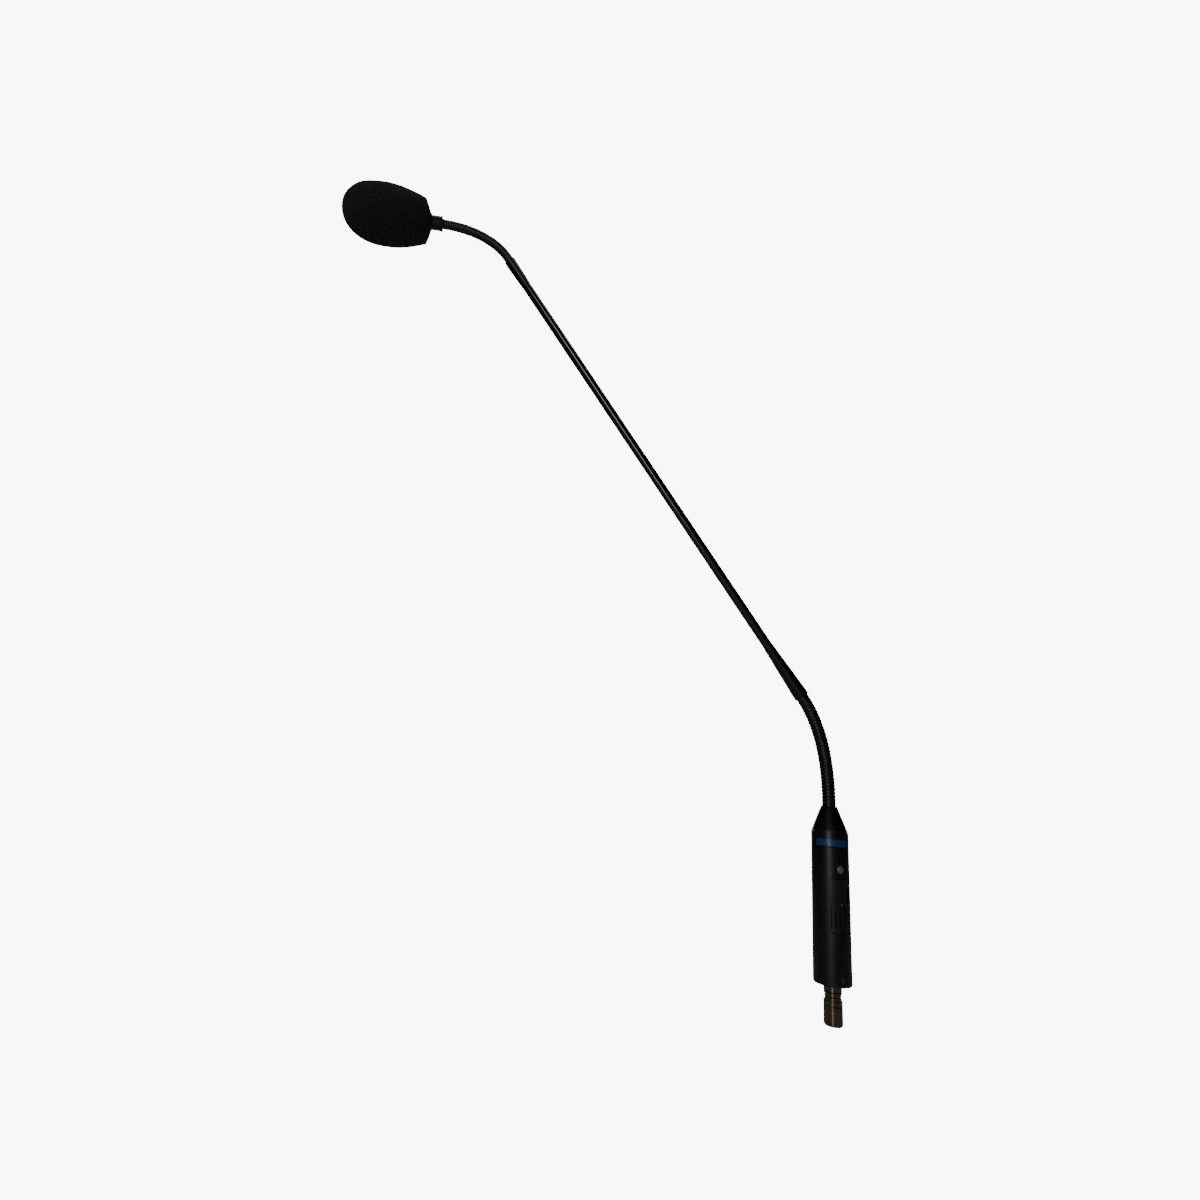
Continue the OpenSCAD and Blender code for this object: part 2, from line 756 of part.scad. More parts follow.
module windscreen() {
    steps = 24;
    hole_r = capsule_d / 2 + capsule_hole_gap;
    hole_len = housing_gap + capsule_len + grille_len + 0.6;
    color([0.04, 0.04, 0.04]) placed(foam_start, head_dir) rotate_extrude() polygon(concat(
        [[0, hole_len], [hole_r, hole_len], [hole_r, -foam_lip]],
        [for (k = [0:steps]) let (s = foam_belly * k / steps) [foam_r(s), s]],
        [for (k = [1:steps]) let (s = foam_belly + (foam_len - foam_belly) * sin(90 * k / steps))
            [foam_r(s), s]]
    ));
}

// ---- signal cable, in four stretches ----

module cable(length) {
    color([0.15, 0.15, 0.16]) cylinder(h = length, r = cable_r);
}

// Rounds the cable's corner at a joint
module cable_corner(point) {
    color([0.15, 0.15, 0.16]) translate(point) sphere(r = cable_r + 0.1);
}

// From the top edge of the board to the tip of the cone
module board_cable() {
    translate([0, 0, board_low + board_len]) cable(cone_top - board_low - board_len);
}

module lower_neck_cable() {
    for (i = [0:joints]) {
        from = i == 0 ? [0, 0, cone_top] : low_joint(i - 1);
        dir = i == 0 ? 0 : low_dir(i - 1);
        length = i == 0 || i == joints ? low_pitch / 2 : low_pitch;
        placed(from, dir) cable(length);
        if (i > 0) cable_corner(from);
    }
}

module stem_cable() {
    placed(low_end, stem_dir) cable(stem_total);
}

module upper_neck_cable() {
    for (i = [0:joints]) {
        from = i == 0 ? up_start : up_joint(i - 1);
        dir = i == 0 ? stem_dir : up_dir(i - 1);
        length = i == 0 ? up_straight + up_pitch / 2 : i == joints ? up_pitch / 2 + cable_end : up_pitch;
        placed(from, dir) cable(length);
        if (i > 0) cable_corner(from);
    }
}

plug_barrel();
plug_body();
plug_insert();
plug_contacts();
end_plug();
end_seal();
end_screw();
body_shell();
switch_plate();
switch_mark();
switch_knob();
switch_actuator();
slide_switch();
circuit_board();
board_parts();
output_transformer();
led_bezel();
status_led();
top_cap();
cap_seal();
name_band();
neck_cone();
neck_nut();
lower_neck_foot();
for (i = [1:links]) lower_link(i);
lower_neck_top();
lower_swage();
stem_tube();
upper_sleeve();
upper_neck_foot();
for (i = [1:links]) upper_link(i);
upper_neck_top();
head_collar();
capsule_housing();
capsule_grille();
condenser_capsule();
capsule_seat();
windscreen();
board_cable();
lower_neck_cable();
stem_cable();
upper_neck_cable();
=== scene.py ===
import json
import math

import bpy
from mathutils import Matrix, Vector, noise

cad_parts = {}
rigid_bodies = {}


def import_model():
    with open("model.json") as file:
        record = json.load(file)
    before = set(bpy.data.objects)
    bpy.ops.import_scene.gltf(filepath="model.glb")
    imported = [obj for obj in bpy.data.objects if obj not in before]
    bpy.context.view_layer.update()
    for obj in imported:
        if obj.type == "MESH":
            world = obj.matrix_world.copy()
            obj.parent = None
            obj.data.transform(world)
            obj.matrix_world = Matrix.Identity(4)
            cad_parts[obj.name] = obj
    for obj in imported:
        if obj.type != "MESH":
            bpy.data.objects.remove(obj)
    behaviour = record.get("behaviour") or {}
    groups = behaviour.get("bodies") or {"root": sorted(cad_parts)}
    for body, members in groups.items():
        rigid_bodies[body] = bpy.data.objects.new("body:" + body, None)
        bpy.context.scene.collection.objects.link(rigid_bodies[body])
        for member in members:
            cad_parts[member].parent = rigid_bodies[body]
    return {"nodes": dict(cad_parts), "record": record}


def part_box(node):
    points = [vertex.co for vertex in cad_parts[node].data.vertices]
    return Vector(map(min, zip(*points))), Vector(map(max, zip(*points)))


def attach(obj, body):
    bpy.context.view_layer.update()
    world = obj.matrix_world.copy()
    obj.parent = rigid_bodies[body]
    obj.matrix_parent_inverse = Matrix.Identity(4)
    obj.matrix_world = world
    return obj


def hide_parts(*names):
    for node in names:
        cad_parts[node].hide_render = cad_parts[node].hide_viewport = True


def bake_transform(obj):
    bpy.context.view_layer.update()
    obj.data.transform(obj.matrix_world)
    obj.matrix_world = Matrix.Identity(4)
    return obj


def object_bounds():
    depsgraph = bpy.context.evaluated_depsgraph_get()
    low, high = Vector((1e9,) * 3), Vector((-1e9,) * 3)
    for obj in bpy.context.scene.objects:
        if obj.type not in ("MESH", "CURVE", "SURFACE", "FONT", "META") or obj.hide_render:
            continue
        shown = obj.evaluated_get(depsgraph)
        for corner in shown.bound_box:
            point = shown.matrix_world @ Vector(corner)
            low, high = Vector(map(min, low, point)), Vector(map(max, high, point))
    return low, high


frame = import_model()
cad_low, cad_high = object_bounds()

MM = 0.001
TOUCH = 0.2 * MM  # places closer than this count as the same
JOINTS = {joint["name"]: joint for joint in frame["record"]["behaviour"]["joints"]}
SIDE = Vector((0, 1, 0))  # the necks bend in the plane that this is square to

WHITE = 9.0  # radiance that the view shows as plain white
AMBIENT = 0.011  # what the object sees of the room
FLOOR_REACH = 12.0  # half the floor's width

COIL_AROUND = 48  # points round a gooseneck
RINGS_PER_TURN = 10  # rings for one turn of the wound wire
BORE_EVERY = 5  # outer rings for one ring of the smooth bore
LOWER_COIL = {"depth": 0.46 * MM, "pitch": 2.3 * MM, "bore": 2.4 * MM}
UPPER_COIL = {"depth": 0.34 * MM, "pitch": 1.75 * MM, "bore": 1.9 * MM}

CABLE_AROUND = 16
CABLE_STEPS = 8
CABLE_BORE = 0.45  # share of the cable's radius

FOAM_AROUND = 380
FOAM_ROWS = 210  # rows from the rounded edge to the nose
FOAM_HOLE_STEPS = 20
FOAM_FACE_STEPS = 22
FOAM_EDGE_STEPS = 12
FOAM_EDGE = 3.5 * MM  # how far the edge of the end face is rounded
FOAM_CELL = 1.15 * MM
FOAM_CELL_WALL = 0.45  # share of a cell that its wall slopes over
FOAM_PIT = 0.42 * MM  # depth of a cut cell
FOAM_LUMP = 0.25 * MM
FOAM_LUMP_SIZE = 9 * MM
FOAM_GRAIN = 0.10 * MM
FOAM_GRAIN_SIZE = 0.7 * MM
FOAM_LIFT = 0.15 * MM  # brings the pitted skin back to the plain outline
FOAM_TIP = 0.12 * MM  # smallest radius at the nose


# ---- camera, world, floor and lights ----

def add_object(name, data):
    """Puts an object with this data in the scene."""
    thing = bpy.data.objects.new(name, data)
    bpy.context.scene.collection.objects.link(thing)
    return thing


def add_camera():
    """A close view with a wide lens, looking slightly up."""
    data = bpy.data.cameras.new("camera")
    data.lens = 19.22
    data.sensor_width = 36
    data.clip_start = 0.01
    camera = add_object("camera", data)
    camera.location = (-0.2684, -0.4087, 0.1224)
    camera.rotation_euler = [math.radians(angle) for angle in (107.23, -4.81, -14.52)]
    bpy.context.scene.camera = camera


def background(nodes, strength):
    node = nodes.new("ShaderNodeBackground")
    node.inputs["Color"].default_value = (1, 1, 1, 1)
    node.inputs["Strength"].default_value = strength
    return node.outputs["Background"]


def add_world():
    """A white surround for the view, and a dimmer one for what the object reflects."""
    world = bpy.data.worlds.new("studio")
    bpy.context.scene.world = world
    world.use_nodes = True
    nodes, links = world.node_tree.nodes, world.node_tree.links
    nodes.clear()
    seen = background(nodes, WHITE)
    cast = background(nodes, AMBIENT)
    path = nodes.new("ShaderNodeLightPath")
    mix = nodes.new("ShaderNodeMixShader")
    out = nodes.new("ShaderNodeOutputWorld")
    links.new(path.outputs["Is Camera Ray"], mix.inputs[0])
    links.new(cast, mix.inputs[1])
    links.new(seen, mix.inputs[2])
    links.new(mix.outputs[0], out.inputs[0])


def add_floor(level):
    mesh = bpy.data.meshes.new("floor")
    corners = [(-1, -1), (1, -1), (1, 1), (-1, 1)]
    points = [(x * FLOOR_REACH, y * FLOOR_REACH, level) for x, y in corners]
    mesh.from_pydata(points, [], [(0, 1, 2, 3)])
    floor = add_object("floor", mesh)
    material, nodes, links, shader = new_material("floor")
    shader.inputs["Base Color"].default_value = (0.92, 0.92, 0.92, 1)
    shader.inputs["Roughness"].default_value = 0.9
    shader.inputs["Specular IOR Level"].default_value = 0.0
    shader.inputs["Emission Color"].default_value = (1, 1, 1, 1)
    path = nodes.new("ShaderNodeLightPath")
    glow = spread(nodes, links, path.outputs["Is Camera Ray"], 0.0, WHITE)
    links.new(glow, shader.inputs["Emission Strength"])
    mesh.materials.append(material)


def add_light(name, place, aim, size, power):
    data = bpy.data.lights.new(name, "AREA")
    data.shape = "RECTANGLE"
    data.size, data.size_y = size
    data.energy = power
    lamp = add_object(name, data)
    lamp.location = place
    direction = Vector(aim) - Vector(place)
    lamp.rotation_euler = direction.to_track_quat("-Z", "Y").to_euler()
    lamp.visible_camera = False


def add_lights():
    """A tall soft strip beyond the camera, two weaker ones behind, and a soft top light."""
    handle = Vector((0, 0, 0.1))
    head = (cad_low + cad_high) / 2 + Vector((-0.1, 0, 0.1))
    add_light("strip", (-0.81, -1.02, 0.38), handle, (0.16, 0.76), 3.6)
    add_light("rim_right", (0.94, 0.73, 0.3), handle, (0.12, 1.2), 1.8)
    add_light("rim_left", (0.12, 1.19, 0.3), handle, (0.12, 1.2), 1.2)
    add_light("top", head + Vector((0.1, -0.3, 1.2)), head, (0.8, 0.8), 2.0)


# ---- materials ----

def new_material(name):
    material = bpy.data.materials.new(name)
    material.use_nodes = True
    nodes, links = material.node_tree.nodes, material.node_tree.links
    return material, nodes, links, nodes["Principled BSDF"]


def object_coordinates(nodes, links, stretch=(1, 1, 1)):
    """Object coordinates, which are metres in the part's own frame, stretched along each axis."""
    coordinates = nodes.new("ShaderNodeTexCoord")
    mapping = nodes.new("ShaderNodeMapping")
    mapping.inputs["Scale"].default_value = stretch
    links.new(coordinates.outputs["Object"], mapping.inputs["Vector"])
    return mapping.outputs["Vector"]


def noise_node(nodes, links, vector, per_metre, detail=3.0, roughness=0.55):
    texture = nodes.new("ShaderNodeTexNoise")
    texture.inputs["Scale"].default_value = per_metre
    texture.inputs["Detail"].default_value = detail
    texture.inputs["Roughness"].default_value = roughness
    links.new(vector, texture.inputs["Vector"])
    return texture.outputs["Fac"]


def ramp(nodes, links, value, low, high, low_colour, high_colour):
    """Turns a value into a colour that runs from low_colour to high_colour."""
    node = nodes.new("ShaderNodeValToRGB")
    first, last = node.color_ramp.elements
    first.position, last.position = low, high
    first.color, last.color = (*low_colour, 1), (*high_colour, 1)
    links.new(value, node.inputs["Fac"])
    return node.outputs["Color"]


def spread(nodes, links, value, low, high):
    """Maps a value from 0-1 to low-high."""
    node = nodes.new("ShaderNodeMapRange")
    node.inputs["To Min"].default_value = low
    node.inputs["To Max"].default_value = high
    links.new(value, node.inputs["Value"])
    return node.outputs["Result"]


def bump(nodes, links, height, strength, distance, below=None):
    node = nodes.new("ShaderNodeBump")
    node.inputs["Strength"].default_value = strength
    node.inputs["Distance"].default_value = distance
    links.new(height, node.inputs["Height"])
    if below is not None:
        links.new(below, node.inputs["Normal"])
    return node.outputs["Normal"]


def coated_metal(name, dark, light, rough, grain=2600, grain_depth=0.00004, coat=0.0):
    """Painted or anodised metal: a fine grain, with slightly uneven gloss and colour."""
    material, nodes, links, shader = new_material(name)
    vector = object_coordinates(nodes, links)
    patches = noise_node(nodes, links, vector, 70, 4)
    fine = noise_node(nodes, links, vector, grain, 2)
    links.new(ramp(nodes, links, patches, 0.35, 0.7, dark, light), shader.inputs["Base Color"])
    links.new(spread(nodes, links, patches, rough[0], rough[1]), shader.inputs["Roughness"])
    links.new(bump(nodes, links, fine, 0.35, grain_depth), shader.inputs["Normal"])
    shader.inputs["Coat Weight"].default_value = coat
    shader.inputs["Coat Roughness"].default_value = 0.12
    return material


def turned_metal(name, dark, light, rough, stretch=(1, 1, 1), lines=9000, streak=0.0):
    """Bare metal with the fine circular lines of turning, and a few dull patches.
    A streak draws the highlights out along +Z, square to the lines."""
    material, nodes, links, shader = new_material(name)
    vector = object_coordinates(nodes, links)
    tool_lines = noise_node(nodes, links, object_coordinates(nodes, links, stretch), lines, 2)
    patches = noise_node(nodes, links, vector, 260, 5, 0.7)
    links.new(ramp(nodes, links, patches, 0.3, 0.72, dark, light), shader.inputs["Base Color"])
    links.new(spread(nodes, links, patches, rough[0], rough[1]), shader.inputs["Roughness"])
    links.new(bump(nodes, links, tool_lines, 0.25, 0.00005), shader.inputs["Normal"])
    shader.inputs["Metallic"].default_value = 1.0
    if streak:
        tangent = nodes.new("ShaderNodeTangent")
        tangent.direction_type = "RADIAL"
        tangent.axis = "Z"
        links.new(tangent.outputs["Tangent"], shader.inputs["Tangent"])
        shader.inputs["Anisotropic"].default_value = streak
        shader.inputs["Anisotropic Rotation"].default_value = 0.25
    return material


def moulded_plastic(name, dark, light, rough, grain=1900, grain_depth=0.00006):
    material, nodes, links, shader = new_material(name)
    vector = object_coordinates(nodes, links)
    fine = noise_node(nodes, links, vector, grain, 3)
    patches = noise_node(nodes, links, vector, 120, 3)
    links.new(ramp(nodes, links, patches, 0.3, 0.7, dark, light), shader.inputs["Base Color"])
    links.new(spread(nodes, links, fine, rough[0], rough[1]), shader.inputs["Roughness"])
    links.new(bump(nodes, links, fine, 0.4, grain_depth), shader.inputs["Normal"])
    return material


def foam_material():
    """Open-cell foam: dull black, with painted shade that darkens the colour towards the bottom of each
    pore's pit.
    """
    material, nodes, links, shader = new_material("open_cell_foam")
    vector = object_coordinates(nodes, links)
    pores = nodes.new("ShaderNodeTexVoronoi")
    pores.feature = "F1"
    pores.inputs["Scale"].default_value = 1500
    links.new(vector, pores.inputs["Vector"])
    dark, light = (0.002, 0.002, 0.002), (0.016, 0.016, 0.016)
    # painted shade: the colour is darkest at the middle of each pore, where the bump below sinks the pit,
    # and lighter on the cell walls
    colour = ramp(nodes, links, pores.outputs["Distance"], 0.15, 0.6, dark, light)
    links.new(colour, shader.inputs["Base Color"])
    strands = noise_node(nodes, links, vector, 3200, 3)
    fine = bump(nodes, links, strands, 0.5, 0.0001)
    links.new(bump(nodes, links, pores.outputs["Distance"], 0.9, 0.0004, fine), shader.inputs["Normal"])
    shader.inputs["Roughness"].default_value = 0.95
    shader.inputs["Specular IOR Level"].default_value = 0.25
    shader.inputs["Sheen Weight"].default_value = 0.06
    shader.inputs["Sheen Roughness"].default_value = 0.6
    return material


def band_material():
    """The blue band: a glossy film with a faint fleck."""
    material, nodes, links, shader = new_material("blue_band")
    vector = object_coordinates(nodes, links)
    flecks = noise_node(nodes, links, vector, 2200, 2)
    patches = noise_node(nodes, links, vector, 90, 3)
    colour = ramp(nodes, links, patches, 0.3, 0.7, (0.002, 0.045, 0.17), (0.005, 0.07, 0.24))
    links.new(colour, shader.inputs["Base Color"])
    links.new(spread(nodes, links, flecks, 0.3, 0.42), shader.inputs["Roughness"])
    links.new(bump(nodes, links, flecks, 0.15, 0.00003), shader.inputs["Normal"])
    shader.inputs["Coat Weight"].default_value = 0.25
    shader.inputs["Coat Roughness"].default_value = 0.2
    return material


def lens_material():
    """The status light, unlit: a milky clear dome."""
    material, nodes, links, shader = new_material("light_lens")
    vector = object_coordinates(nodes, links)
    cloud = noise_node(nodes, links, vector, 700, 2)
    colour = ramp(nodes, links, cloud, 0.3, 0.7, (0.17, 0.17, 0.15), (0.25, 0.25, 0.225))
    links.new(colour, shader.inputs["Base Color"])
    links.new(spread(nodes, links, cloud, 0.14, 0.24), shader.inputs["Roughness"])
    shader.inputs["Coat Weight"].default_value = 0.6
    shader.inputs["Transmission Weight"].default_value = 0.15
    return material


def dress(material, *names):
    """Gives CAD nodes a material in place of their own."""
    for name in names:
        for slot in frame["nodes"][name].material_slots:
            slot.material = material


# ---- measures of CAD nodes ----

def middle(node):
    low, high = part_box(node)
    return (Vector(low) + Vector(high)) / 2


def radius_of(node):
    """Radius of a round piece that lies in the plane of the necks."""
    low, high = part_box(node)
    return (high[1] - low[1]) / 2


def reach(node, point, direction):
    """How far a CAD node reaches from a point in a direction."""
    return max((vertex.co - point).dot(direction) for vertex in frame["nodes"][node].data.vertices)


# ---- meshes ----

def turns(around):
    """Equal angles round a circle."""
    return [2 * math.pi * k / around for k in range(around)]


def add_smooth_piece(name, points, faces):
    mesh = bpy.data.meshes.new(name)
    mesh.from_pydata(points, [], faces)
    mesh.polygons.foreach_set("use_smooth", [True] * len(mesh.polygons))
    mesh.update()
    return add_object(name, mesh)


def add_sleeve(name, rings, bore_rings):
    """A closed tube. Each ring is a list of points; the bore's rings lie inside the outer ones."""
    around = len(rings[0])
    points = [point for ring in rings + bore_rings for point in ring]
    faces = []
    inner = len(rings) * around
    for start, count, flip in ((0, len(rings), False), (inner, len(bore_rings), True)):
        for r in range(count - 1):
            for k in range(around):
                a = start + r * around + k
                b = start + r * around + (k + 1) % around
                quad = (a, b, b + around, a + around)
                faces.append(quad[::-1] if flip else quad)
    last_outer = (len(rings) - 1) * around
    last_inner = inner + (len(bore_rings) - 1) * around
    for k in range(around):
        n = (k + 1) % around
        faces.append((n, k, inner + k, inner + n))
        faces.append((last_outer + k, last_outer + n, last_inner + n, last_inner + k))
    return add_smooth_piece(name, points, faces)


# ---- gooseneck skins ----

class Neck:
    """One gooseneck: its joints' places, its bodies, and the directions of the pieces between them."""

    def __init__(self, prefix, foot_point, top_point):
        joints = [joint for name, joint in JOINTS.items() if name.startswith(prefix + "_")]
        self.bodies = [joint["parent"] for joint in joints] + [joints[-1]["child"]]
        self.points = [Vector(joint["pos_m"]) for joint in joints]
        line = [foot_point] + self.points + [top_point]
        self.directions = [(b - a).normalized() for a, b in zip(line, line[1:])]
        self.pitch = (self.points[1] - self.points[0]).length

    def stretch(self, index):
        """Where the stretch that bends at one joint begins and ends."""
        point, half = self.points[index], self.pitch / 2
        return point - half * self.directions[index], point + half * self.directions[index + 1]

    def tails(self, foot, top):
        """How far two CAD nodes run on below the first stretch and above the last one."""
        begin, end = self.stretch(0)[0], self.stretch(len(self.points) - 1)[1]
        return reach(foot, begin, -self.directions[0]), reach(top, end, self.directions[-1])

    def shares(self, index, tails):
        """Where a stretch's skin begins and ends, in shares of the stretch: the outermost two run on."""
        low = -tails[0] / self.pitch if index == 0 else 0.0
        high = 1 + tails[1] / self.pitch if index == len(self.points) - 1 else 1.0
        return low, high

    def centre(self, index, share):
        """A point on the centre line and the direction there, for a share of 0 to 1 of a stretch.
        Below 0 and above 1 the line runs straight on."""
        begin, end = self.stretch(index)
        before, after = self.directions[index], self.directions[index + 1]
        if share < 0:
            return begin + before * (share * self.pitch), before
        if share > 1:
            return end + after * ((share - 1) * self.pitch), after
        knee = self.points[index]
        point = begin * (1 - share) ** 2 + knee * (2 * share * (1 - share)) + end * share ** 2
        return point, ((knee - begin) * (1 - share) + (end - knee) * share).normalized()


def neck_ring(neck, index, share, radii):
    """Points round a neck's centre line, one for each radius."""
    point, direction = neck.centre(index, share)
    up = direction.cross(SIDE)
    ring = []
    for turn, radius in zip(turns(len(radii)), radii):
        ring.append(point + (math.cos(turn) * SIDE + math.sin(turn) * up) * radius)
    return ring


def coil_radius(along, turn, outer, coil):
    """The wound wire's round back: full radius on each turn of wire, less depth between turns."""
    phase = (along / coil["pitch"] + turn / (2 * math.pi)) % 1.0
    rise = math.sqrt(max(0.0, 1 - (2 * phase - 1) ** 2))
    return outer - coil["depth"] * (1 - rise)


def add_neck(prefix, neck, coil, material):
    """The skin of a gooseneck, one piece for each joint, bent smoothly across it."""
    foot, top = f"{prefix}_neck_foot", f"{prefix}_neck_top"
    outer = radius_of(foot)
    tails = neck.tails(foot, top)
    replaced = [[f"{prefix}_link_{i}"] for i in range(1, len(neck.points))] + [[top]]
    replaced[0].append(foot)
    for index in range(len(neck.points)):
        low, high = neck.shares(index, tails)
        steps = max(2, round((high - low) * neck.pitch / coil["pitch"] * RINGS_PER_TURN))
        rings, bores = [], []
        for step in range(steps + 1):
            share = low + (high - low) * step / steps
            along = (index + share) * neck.pitch
            radii = [coil_radius(along, turn, outer, coil) for turn in turns(COIL_AROUND)]
            rings.append(neck_ring(neck, index, share, radii))
            if step % BORE_EVERY == 0 or step == steps:
                bores.append(neck_ring(neck, index, share, [coil["bore"]] * COIL_AROUND))
        piece = add_sleeve(f"{prefix}_coil_{index + 1}", rings, bores)
        piece.data.materials.append(material)
        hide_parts(*replaced[index])
        begin, end = neck.stretch(index)
        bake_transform(piece)


def add_neck_cable(prefix, neck, material):
    """The signal cable inside a gooseneck, bent with it."""
    node = f"{prefix}_neck_cable"
    radius = radius_of("board_cable")
    tails = neck.tails(node, node)
    for index in range(len(neck.points)):
        low, high = neck.shares(index, tails)
        shares = [low + (high - low) * step / CABLE_STEPS for step in range(CABLE_STEPS + 1)]
        rings = [neck_ring(neck, index, share, [radius] * CABLE_AROUND) for share in shares]
        bores = [neck_ring(neck, index, share, [radius * CABLE_BORE] * CABLE_AROUND) for share in shares]
        piece = add_sleeve(f"{prefix}_cable_{index + 1}", rings, bores)
        piece.data.materials.append(material)
        if index == 0:
            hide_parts(node)
        begin, end = neck.stretch(index)
        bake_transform(piece)


# ---- windscreen ----

def cad_outline(node, axis):
    """A CAD solid of revolution: where its axis starts, and its vertices as (distance, radius) pairs."""
    vertices = [vertex.co for vertex in frame["nodes"][node].data.vertices]
    first = min(vertex.dot(axis) for vertex in vertices)
    ring = [vertex for vertex in vertices if vertex.dot(axis) - first < TOUCH]
    centre = sum(ring, Vector()) / len(ring)
    pairs = []
    for vertex in vertices:
        along = (vertex - centre).dot(axis)
        pairs.append((along, (vertex - centre - along * axis).length))
    return centre, sorted(pairs)


def interpolate(pairs, at):
    for (a, ra), (b, rb) in zip(pairs, pairs[1:]):
        if a <= at <= b:
            return ra if b == a else ra + (rb - ra) * (at - a) / (b - a)
    return pairs[-1][1]


def foam_push(point):
    """How far the foam's skin stands in or out at a point: cut cells, and a slow unevenness."""
    distances, _ = noise.voronoi(point / FOAM_CELL)
    wall = min(1.0, (distances[1] - distances[0]) / FOAM_CELL_WALL)
    pit = 1 - (1 - wall) ** 2
    lumps = noise.noise(point / FOAM_LUMP_SIZE) * FOAM_LUMP
    grain = noise.noise(point / FOAM_GRAIN_SIZE) * FOAM_GRAIN
    return lumps + grain - FOAM_PIT * pit + FOAM_LIFT


def foam_outline(pairs, hole, depth):
    """The widest radius at each distance, without the hole."""
    widest = {}
    for distance, radius in pairs:
        key = round(distance, 5)
        widest[key] = max(radius, widest.get(key, 0.0))
    return [(d, r) for d, r in sorted(widest.items()) if r > hole + 2 * MM or d > depth]


def foam_profile(pairs):
    """The windscreen's outline as (distance, radius) points: the hole's wall, then the skin."""
    length = pairs[-1][0]
    hole = min(radius for distance, radius in pairs if distance < TOUCH)
    wall = [distance for distance, radius in pairs if abs(radius - hole) < TOUCH]
    depth = max(distance for distance in wall if distance < 0.9 * length)
    outline = foam_outline(pairs, hole, depth)
    inner = [Vector((depth, hole * 0.5))]
    for step in range(FOAM_HOLE_STEPS + 1):
        inner.append(Vector((depth * (1 - step / FOAM_HOLE_STEPS), hole)))
    # the sloping end face, its rounded edge, and on to the nose
    mouth, corner = Vector((0.0, hole)), Vector(outline[0])
    face_end = corner + (mouth - corner).normalized() * FOAM_EDGE
    side_start = Vector((corner.x + FOAM_EDGE, interpolate(outline, corner.x + FOAM_EDGE)))
    skin = [mouth.lerp(face_end, step / FOAM_FACE_STEPS) for step in range(1, FOAM_FACE_STEPS)]
    for step in range(FOAM_EDGE_STEPS):
        share = step / FOAM_EDGE_STEPS
        bend = corner * (2 * share * (1 - share))
        skin.append(face_end * (1 - share) ** 2 + bend + side_start * share ** 2)
    for row in range(FOAM_ROWS + 1):
        eased = math.sin(math.pi / 2 * row / FOAM_ROWS) * 0.55 + row / FOAM_ROWS * 0.45
        distance = side_start.x + (length - side_start.x) * eased
        skin.append(Vector((distance, max(FOAM_TIP, interpolate(outline, distance)))))
    return inner, skin


def add_windscreen():
    axis = Vector(JOINTS["windscreen_pull"]["axis"])
    start, pairs = cad_outline("windscreen", axis)
    inner, skin = foam_profile(pairs)
    profile = inner + skin
    up = axis.cross(SIDE)
    points = []
    for position, place in enumerate(profile):
        ahead = profile[min(position + 1, len(profile) - 1)]
        behind = profile[max(position - 1, 0)]
        run = (ahead - behind).normalized()
        for turn in turns(FOAM_AROUND):
            outward = math.cos(turn) * SIDE + math.sin(turn) * up
            point = start + axis * place.x + outward * place.y
            if position >= len(inner):
                point = point + (outward * run.x - axis * run.y) * foam_push(point)
            points.append(point)
    faces = []
    for r in range(len(profile) - 1):
        for k in range(FOAM_AROUND):
            a = r * FOAM_AROUND + k
            b = r * FOAM_AROUND + (k + 1) % FOAM_AROUND
            faces.append((a, a + FOAM_AROUND, b + FOAM_AROUND, b))
    faces.append(tuple(range(FOAM_AROUND)))
    last = (len(profile) - 1) * FOAM_AROUND
    faces.append(tuple(last + k for k in reversed(range(FOAM_AROUND))))
    piece = add_smooth_piece("foam_windscreen", points, faces)
    piece.data.materials.append(foam_material())
    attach(piece, "foam")
    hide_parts("windscreen")


# ---- the object ----

add_camera()
add_world()
add_lights()
add_floor(cad_low.z)

satin_black = coated_metal("satin_black", (0.0012, 0.0012, 0.0014), (0.0024, 0.0024, 0.0028), (0.34, 0.44))
cap_black = coated_metal("cap_black", (0.002, 0.002, 0.0022), (0.0035, 0.0035, 0.004), (0.3, 0.4))
gloss_black = coated_metal("gloss_black", (0.003, 0.003, 0.0035), (0.005, 0.005, 0.006), (0.16, 0.24),
                           grain=900, grain_depth=0.00002, coat=0.3)
coil_black = coated_metal("coil_black", (0.004, 0.004, 0.004), (0.008, 0.008, 0.008), (0.3, 0.42), 3000)
coil_olive = coated_metal("coil_olive", (0.006, 0.006, 0.004), (0.011, 0.011, 0.008), (0.3, 0.42), 3000)
nickel = turned_metal("nickel", (0.13, 0.1, 0.078), (0.24, 0.195, 0.155), (0.26, 0.36),
                      stretch=(0.04, 0.04, 1), streak=0.8)
steel = turned_metal("steel", (0.42, 0.41, 0.38), (0.6, 0.59, 0.56), (0.25, 0.4), lines=4000)
dark_steel = turned_metal("dark_steel", (0.09, 0.088, 0.08), (0.16, 0.155, 0.14), (0.3, 0.45), lines=4000)
gold = turned_metal("gold", (0.7, 0.5, 0.2), (0.85, 0.66, 0.32), (0.18, 0.3))
aluminium = turned_metal("aluminium", (0.6, 0.6, 0.62), (0.75, 0.75, 0.77), (0.22, 0.36))
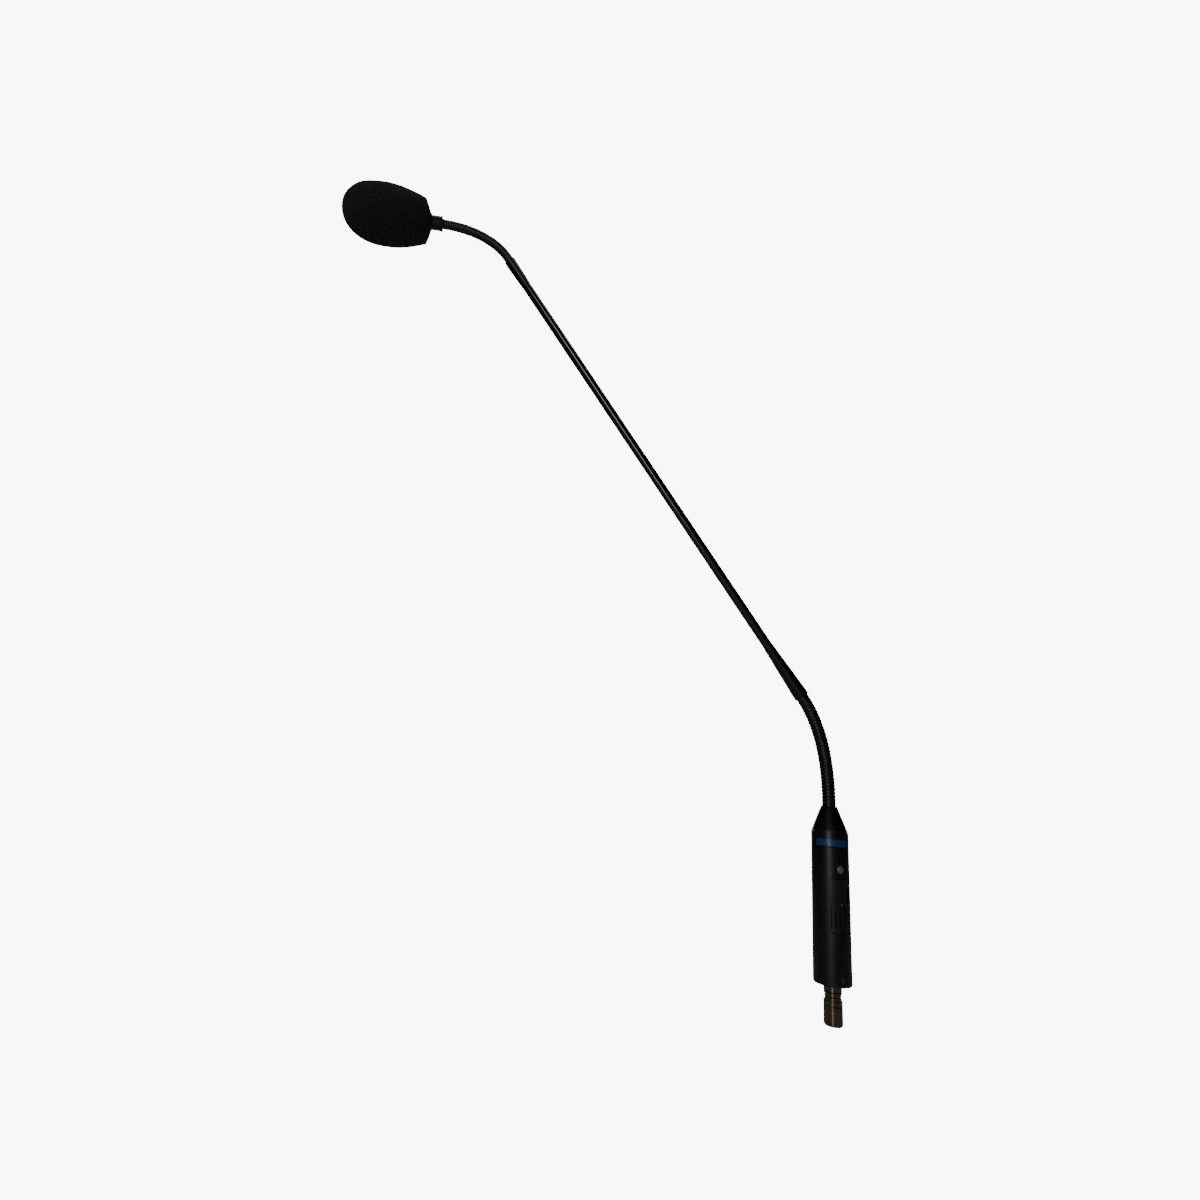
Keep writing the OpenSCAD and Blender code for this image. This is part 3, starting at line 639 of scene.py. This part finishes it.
copper = turned_metal("copper", (0.35, 0.15, 0.06), (0.55, 0.26, 0.12), (0.3, 0.5))
switch_black = moulded_plastic("switch_black", (0.007, 0.007, 0.0075), (0.012, 0.012, 0.013), (0.36, 0.5))
dark_insulator = moulded_plastic("dark_insulator", (0.012, 0.012, 0.013), (0.02, 0.02, 0.022), (0.45, 0.6))
seal_rubber = moulded_plastic("seal_rubber", (0.008, 0.008, 0.008), (0.014, 0.014, 0.014), (0.7, 0.85))
mark_grey = moulded_plastic("mark_grey", (0.13, 0.13, 0.13), (0.2, 0.2, 0.2), (0.4, 0.55))
board_green = moulded_plastic("board_green", (0.008, 0.09, 0.03), (0.015, 0.14, 0.05), (0.3, 0.45))
part_black = moulded_plastic("part_black", (0.02, 0.02, 0.024), (0.035, 0.035, 0.04), (0.4, 0.6))
sheath = moulded_plastic("cable_sheath", (0.012, 0.012, 0.013), (0.02, 0.02, 0.022), (0.5, 0.65))

dress(satin_black, "body_shell", "end_plug", "capsule_housing", "capsule_grille")
dress(cap_black, "top_cap", "neck_cone", "head_collar", "lower_swage", "upper_sleeve")
dress(gloss_black, "stem_tube")
dress(nickel, "plug_barrel", "plug_body")
dress(steel, "neck_nut", "slide_switch")
dress(dark_steel, "end_screw")
dress(gold, "plug_contacts")
dress(aluminium, "condenser_capsule")
dress(copper, "output_transformer")
dress(switch_black, "switch_plate", "switch_knob", "led_bezel")
dress(dark_insulator, "plug_insert")
dress(seal_rubber, "end_seal", "cap_seal", "capsule_seat")
dress(mark_grey, "switch_mark", "switch_actuator")
dress(board_green, "circuit_board")
dress(part_black, "board_parts")
dress(band_material(), "name_band")
dress(lens_material(), "status_led")
dress(sheath, "board_cable", "stem_cable")

stem_middle = middle("stem_tube")
lower_neck = Neck("lower", Vector((0, 0, 0)), stem_middle)
upper_neck = Neck("upper", stem_middle, middle("head_collar"))
add_neck("lower", lower_neck, LOWER_COIL, coil_black)
add_neck("upper", upper_neck, UPPER_COIL, coil_olive)
add_neck_cable("lower", lower_neck, sheath)
add_neck_cable("upper", upper_neck, sheath)
add_windscreen()
